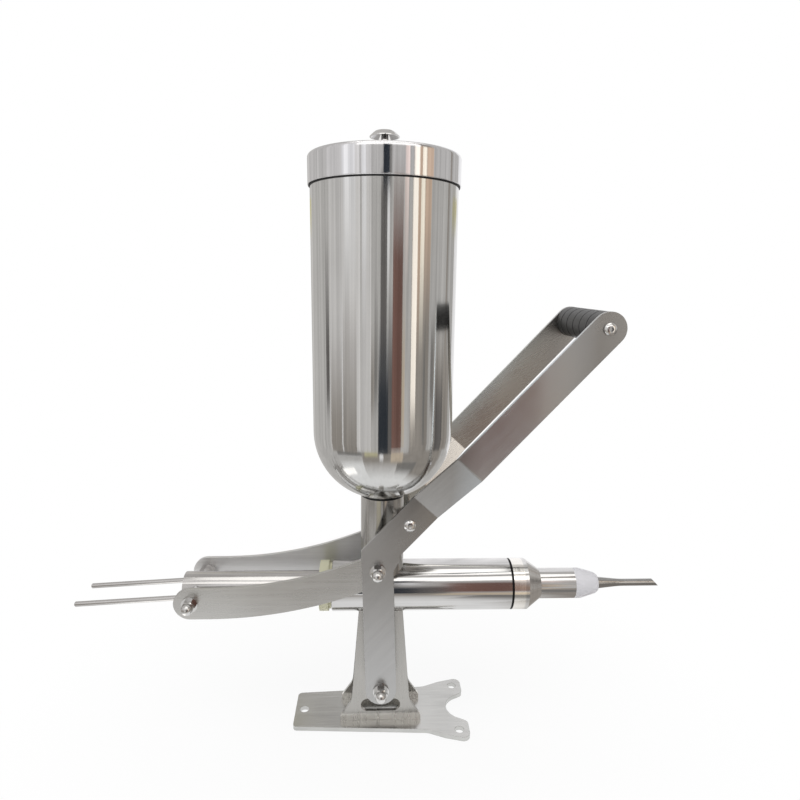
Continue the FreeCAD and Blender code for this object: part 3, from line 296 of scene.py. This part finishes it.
def white_rays(s):
    """1 for the rays that see the background as plain white: camera, reflection, glass."""
    path = s.add("ShaderNodeLightPath")
    total = path.outputs["Is Camera Ray"]
    for kind in ("Is Glossy Ray", "Is Transmission Ray"):
        total = s.math("MAXIMUM", total, path.outputs[kind])
    return total


def stage_sheet(name, spots, faces):
    """A mesh that belongs to the studio and not to the object."""
    mesh = bpy.data.meshes.new(name)
    mesh.from_pydata(spots, [], faces)
    item = bpy.data.objects.new(name, mesh)
    bpy.context.scene.collection.objects.link(item)
    return item


def white_world():
    world = bpy.data.worlds.new("studio")
    bpy.context.scene.world = world
    s = Shader("studio", world)
    background = s.add("ShaderNodeBackground", {
        "Color": WHITE, "Strength": s.spread(white_rays(s), AMBIENT, 1.0, 0, 1)})
    s.add("ShaderNodeOutputWorld", {"Surface": background.outputs[0]})


def floor():
    """Pale floor that fades into the white background."""
    r = FLOOR_REACH
    item = stage_sheet("floor", [(-r, -r, 0), (r, -r, 0), (r, r, 0), (-r, r, 0)], [(0, 1, 2, 3)])
    item.location.z = -FLOOR_DROP
    s = Shader("floor")
    share = s.math("MULTIPLY", white_rays(s), s.spread(s.distance(), *FLOOR_WHITE, *FLOOR_FADE))
    matte = s.add("ShaderNodeBsdfDiffuse", {"Color": FLOOR_COLOUR})
    item.data.materials.append(s.surface(s.layer(share, matte, s.glow(WHITE))))


white_world()
floor()

# ---------------------------------------------------------------- reflected room

# What the polished steel reflects: upright cards in a ring round the object, flat ones on the floor
# and panels overhead. Only reflections see them. Angles are in degrees from -Y towards +X, lengths
# in metres.
TONES = {
    "glare": (1.50, 1.38, 1.24),
    "white": (1.75, 1.72, 1.68),
    "cream": (1.50, 1.38, 1.18),
    "pale": (0.98, 0.97, 0.98),
    "light": (0.78, 0.76, 0.75),
    "grey": (0.60, 0.585, 0.57),
    "taupe": (0.36, 0.33, 0.30),
    "shade": (0.24, 0.23, 0.22),
    "dark": (0.16, 0.15, 0.145),
    "navy": (0.036, 0.042, 0.052),
    "brown": (0.215, 0.118, 0.098),
    "tan": (0.80, 0.60, 0.46),
    "blush": (1.10, 0.92, 0.86),
    "olive": (0.62, 0.58, 0.37),
    "sand": (0.66, 0.56, 0.44),
}
WALL, CARD, CURTAIN = 0.86, 0.80, 0.81  # reach of each ring
TOP = 1.95
MAT, MAT_OVER = 0.001, 0.002  # level of a flat card, and of one that lies on another
STEP = 4.0  # degrees of a ring that one flat face covers
FINE_STREAKS, BROAD_STREAKS = (60, 60, 1.0), (13, 13, 0.6)
STREAK_RANGE = (0.7, 1.3)  # both added together
MAT_CLOUDS, PANEL_CLOUDS = 9.0, 3.0


def only_reflected(item):
    item.visible_camera = False
    item.visible_diffuse = False
    item.visible_shadow = False
    item.visible_transmission = False


def ring_sheet(name, start, end, edges):
    """A part of a ring between two edges, each given as (reach, height)."""
    steps = max(2, round(abs(end - start) / STEP))
    spots = []
    for i in range(steps + 1):
        turn = math.radians(start + (end - start) * i / steps)
        spots += [(reach * math.sin(turn), -reach * math.cos(turn), height) for reach, height in edges]
    faces = [(2 * i, 2 * i + 2, 2 * i + 3, 2 * i + 1) for i in range(steps)]
    return stage_sheet(name, spots, faces)


def card(name, tone, start, end, low, high, reach=CARD, fade_low=0.0, fade_high=0.0, streaks=0.22):
    """Upright card with faint vertical streaks that fades out at its lower or upper end."""
    item = ring_sheet(name, start, end, ((reach, low), (reach, high)))
    s = Shader(name)
    fine = s.noise(s.place(stretch=FINE_STREAKS), 1.0, 2.0)
    broad = s.noise(s.place(stretch=BROAD_STREAKS), 1.0, 1.0)
    streak = s.spread(s.math("ADD", fine, broad), 0, 1, *STREAK_RANGE)
    glow = s.glow(s.vary(streak, TONES[tone], streaks, streaks))
    ends = []
    if fade_low:
        ends.append(s.spread(s.coordinate("Z"), 0, 1, low, low + fade_low))
    if fade_high:
        ends.append(s.spread(s.coordinate("Z"), 1, 0, high - fade_high, high))
    if ends:
        solid = s.math("MULTIPLY", *ends) if len(ends) == 2 else ends[0]
        glow = s.layer(solid, s.add("ShaderNodeBsdfTransparent"), glow)
    item.data.materials.append(s.surface(glow))
    only_reflected(item)


def mat(name, tone, start, end, near, far, level=MAT, fade=0.06):
    """Flat card on the floor, a part of a ring, that fades in from its near edge."""
    item = ring_sheet(name, start, end, ((near, level), (far, level)))
    s = Shader(name)
    cloud = s.spread(s.noise(s.place(), MAT_CLOUDS), 0, 1)
    glow = s.glow(s.vary(cloud, TONES[tone], 0.1, 0.1))
    solid = s.spread(s.distance(), 0, 1, near, near + fade)
    item.data.materials.append(s.surface(s.layer(solid, s.add("ShaderNodeBsdfTransparent"), glow)))
    only_reflected(item)


def panel(name, tone, left, right, front, back, height):
    """Flat panel overhead."""
    corners = [(left, front, height), (right, front, height), (right, back, height), (left, back, height)]
    item = stage_sheet(name, corners, [(0, 1, 2, 3)])
    s = Shader(name)
    cloud = s.spread(s.noise(s.place(), PANEL_CLOUDS, 2.0), 0, 1)
    item.data.materials.append(s.surface(s.glow(s.vary(cloud, TONES[tone], 0.06, 0.0))))
    only_reflected(item)


# Walls behind everything else
card("wall_back_right", "pale", 135, 180, 0.0, 1.40, WALL)
card("wall_back_left", "grey", 180, 225, 0.0, 1.40, WALL)
card("wall_back_high", "grey", 135, 225, 1.35, TOP, 0.87)
card("wall_far_left", "grey", -135, -90, 0.0, TOP, WALL)
card("wall_left", "light", -90, -19, 0.0, TOP, WALL)
card("wall_middle_left", "grey", -19, -8, 0.0, TOP, WALL)
card("wall_middle", "grey", -8, 40, 0.0, TOP, WALL)
card("wall_right", "taupe", 40, 71, 0.0, TOP, WALL)
card("wall_far_right", "grey", 71, 135, 0.0, TOP, WALL)
# Left of the camera
card("post", "dark", -98.5, -91, 0.20, 0.62, fade_low=0.06, fade_high=0.25)
card("chest", "taupe", -88, -66, 0.0, 0.40, fade_high=0.20)
card("chest_edge", "pale", -66, -64.5, 0.0, 0.55, fade_high=0.2)
card("drape", "taupe", -64, -41, 0.0, 0.50, fade_high=0.35)
card("drape_fold", "shade", -63.5, -58, 0.0, 0.30, fade_high=0.15)
card("window", "pale", -62, -42, 0.46, 1.05, fade_low=0.25)
card("frame_edge", "grey", -35, -33.5, 0.0, 0.8)
card("window_near", "pale", -32, -26, 0.38, 1.05, fade_low=0.25)
card("panel", "taupe", -19, -14, 0.20, 0.42, fade_low=0.05, fade_high=0.12)
card("panel_near", "shade", -14, -9, 0.22, 0.52, fade_low=0.05, fade_high=0.18)
# Dark doorway that the camera stands in, and the wood beside it
card("doorway_low", "navy", -8, 6.5, 0.0, 0.44, 0.78, fade_high=0.16)
card("doorway_side", "dark", 6.5, 12, 0.0, 0.50, 0.79, fade_high=0.18)
card("doorway_middle", "dark", -5.5, 3.5, 0.24, 0.74, fade_low=0.10, fade_high=0.04)
card("doorway_high", "navy", -2.5, 6, 0.695, 0.85, 0.77)
card("doorway_high_side", "shade", 6, 9, 0.695, 0.85, 0.77)
card("door_edge_high", "pale", 3.5, 7, 0.46, 0.80, fade_low=0.12)
card("wood", "brown", 12, 26.5, 0.0, 0.76, fade_low=0.12, fade_high=0.20)
card("wood_edge", "sand", 26.5, 31, 0.10, 0.50, fade_low=0.1, fade_high=0.2)
# Curtains, shelves and a cupboard on the right
card("curtain_pink", "blush", 28, 34, 0.50, 0.82, CURTAIN, fade_low=0.25)
card("curtain_low", "grey", 31, 40, 0.0, 0.40, CURTAIN, fade_high=0.15)
card("curtain_white", "glare", 40.5, 48.5, 0.18, 0.82, fade_low=0.08)
card("curtain_tan", "tan", 48.5, 53, 0.34, 0.82, fade_low=0.20)
card("curtain_cream", "cream", 53, 59.5, 0.34, 0.82, fade_low=0.25)
card("curtain_sand", "tan", 59.5, 71, 0.42, 0.82, fade_low=0.25)
card("shelf_far", "shade", 61, 65, 0.12, 0.44, fade_low=0.05, fade_high=0.12)
card("shelf", "shade", 75, 81, 0.20, 0.46, fade_low=0.05, fade_high=0.10)
card("cupboard", "taupe", 81, 124, 0.0, 0.44, 0.84, fade_high=0.14)
card("cabinet", "dark", 87, 105, 0.0, 0.33, fade_high=0.10)
card("wall_joint", "taupe", 107, 112, 0.22, 0.9, fade_low=0.1)
# Plants behind the object
card("olive_left", "olive", -166, -146, 0.60, 0.69, fade_low=0.06)
card("olive_right", "olive", 122, 142, 0.60, 0.69, fade_low=0.06)
# Light above the camera
card("light_front", "white", -40, 50, 0.79, 1.30, 0.78, fade_low=0.02, streaks=0.02)
# Table top and the floor beyond it
mat("table_front", "taupe", -34, 58, 0.16, 0.86, fade=0.34)
mat("beyond_left", "olive", -30, -9, 0.60, 0.86, MAT_OVER, fade=0.10)
mat("glint", "pale", -6, 0, 0.44, 0.76, MAT_OVER, fade=0.16)
mat("beyond_right", "sand", 12, 32, 0.42, 0.86, MAT_OVER, fade=0.10)
mat("table_right_front", "shade", 24, 60, 0.22, 0.46, MAT_OVER, fade=0.12)
mat("table_left", "grey", -80, -34, 0.38, 0.66, fade=0.15)
mat("table_left_end", "shade", -80, -34, 0.62, 0.86)
mat("glare_left", "white", -88, -56, 0.24, 0.35, MAT_OVER, fade=0.03)
mat("table_right", "taupe", 55, 115, 0.15, 0.86, fade=0.12)
mat("table_back_left", "grey", -180, -80, 0.20, 0.86, fade=0.10)
mat("table_back_right", "grey", 110, 180, 0.20, 0.86, fade=0.10)
# Overhead
panel("ceiling_light", "white", -0.7, 1.0, -0.76, 0.20, 1.90)
panel("ceiling", "grey", -1.0, 1.2, -1.0, 1.0, 1.94)

# ---------------------------------------------------------------- lamps

LAMP_AIM = (0, 0, 0.3)


def softbox(name, place, width, height, radiance):
    """Soft rectangular light for the matt surfaces; the steel reflects the cards instead."""
    lamp = bpy.data.lights.new(name, "AREA")
    lamp.shape = "RECTANGLE"
    lamp.size, lamp.size_y = width, height
    lamp.energy = radiance * math.pi * width * height
    item = bpy.data.objects.new(name, lamp)
    item.location = place
    item.rotation_mode = "QUATERNION"
    item.rotation_quaternion = (Vector(LAMP_AIM) - Vector(place)).to_track_quat("-Z", "Y")
    bpy.context.scene.collection.objects.link(item)
    item.visible_camera = False
    item.visible_glossy = False


softbox("top_light", (0.0, -0.35, 1.35), 1.5, 0.7, 1.75)
softbox("left_light", (-1.4, -0.7, 0.9), 0.6, 1.1, 1.3)
softbox("right_light", (1.5, -0.4, 0.8), 0.6, 1.1, 0.9)

# ---------------------------------------------------------------- camera

# From a least-squares fit to the photograph
CAMERA_PLACE = (-0.008883, -0.631667, 0.507252)
YAW, PITCH, ROLL = math.radians(-2.46), math.radians(11.15), math.radians(0.69)
FOCAL_LENGTH, SENSOR_WIDTH = 26.78, 36.0

camera_data = bpy.data.cameras.new("camera")
camera_data.lens = FOCAL_LENGTH
camera_data.sensor_width = SENSOR_WIDTH
camera = bpy.data.objects.new("camera", camera_data)
bpy.context.scene.collection.objects.link(camera)
ahead = Vector((-math.sin(YAW) * math.cos(PITCH), math.cos(YAW) * math.cos(PITCH), -math.sin(PITCH)))
camera.rotation_mode = "QUATERNION"
camera.rotation_quaternion = ahead.to_track_quat("-Z", "Y") @ Matrix.Rotation(ROLL, 3, "Z").to_quaternion()
camera.location = CAMERA_PLACE
bpy.context.scene.camera = camera
bpy.context.scene.view_settings.view_transform = "Standard"
